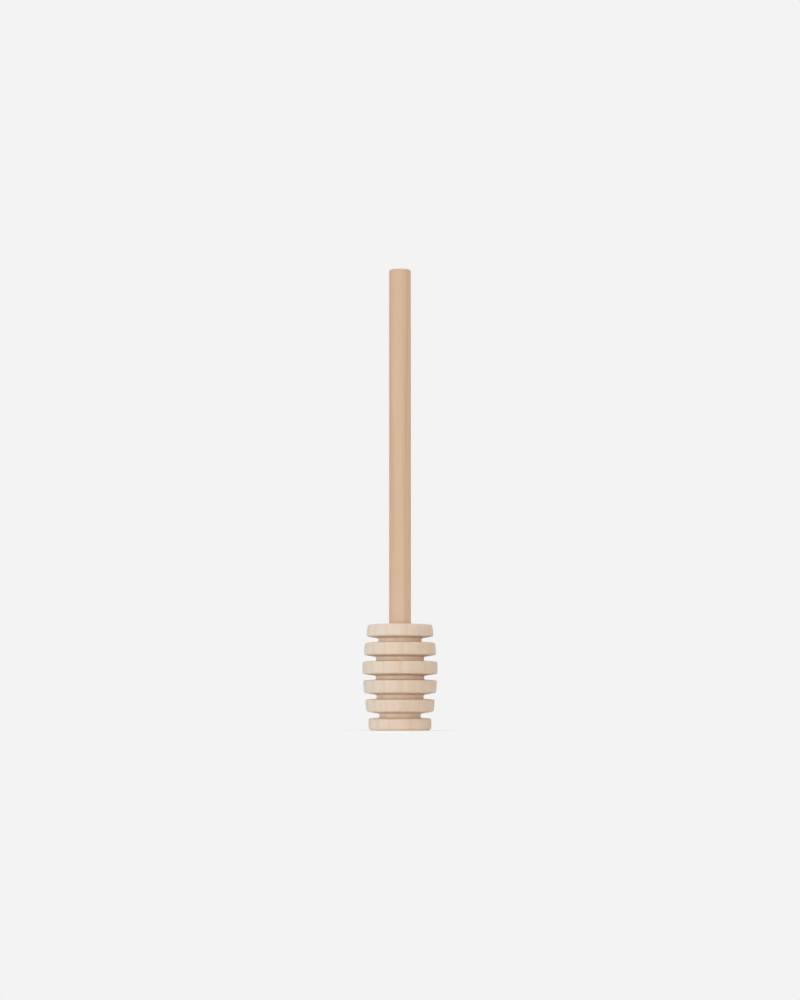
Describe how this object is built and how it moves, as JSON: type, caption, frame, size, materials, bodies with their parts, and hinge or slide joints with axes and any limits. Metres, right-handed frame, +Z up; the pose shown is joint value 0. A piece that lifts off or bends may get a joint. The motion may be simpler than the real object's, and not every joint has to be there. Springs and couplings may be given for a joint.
{
  "type": "honey dipper",
  "caption": "Wooden honey dipper: a straight round handle glued into a turned barrel-shaped head, whose ribs and deep grooves pick up and drip honey. Stands on the flat foot of its head.",
  "frame": {"origin": "centre of the flat foot of the head, the face that the dipper stands on", "axes": "+Z up the handle from the foot to the tip; -Y faces the viewer of the picture, +X is to the viewer's right"},
  "size_m": [0.026, 0.026, 0.16],
  "materials": {
    "head_wood": "bare turned beech, pale cream, matt",
    "handle_wood": "bare sanded beech, pinkish tan, matt",
    "glue": "cured wood glue, yellowish and slightly clear"
  },
  "bodies": {
    "root": {"head": "head_wood", "glue_film": "glue", "handle": "handle_wood"}
  },
  "joints": []
}
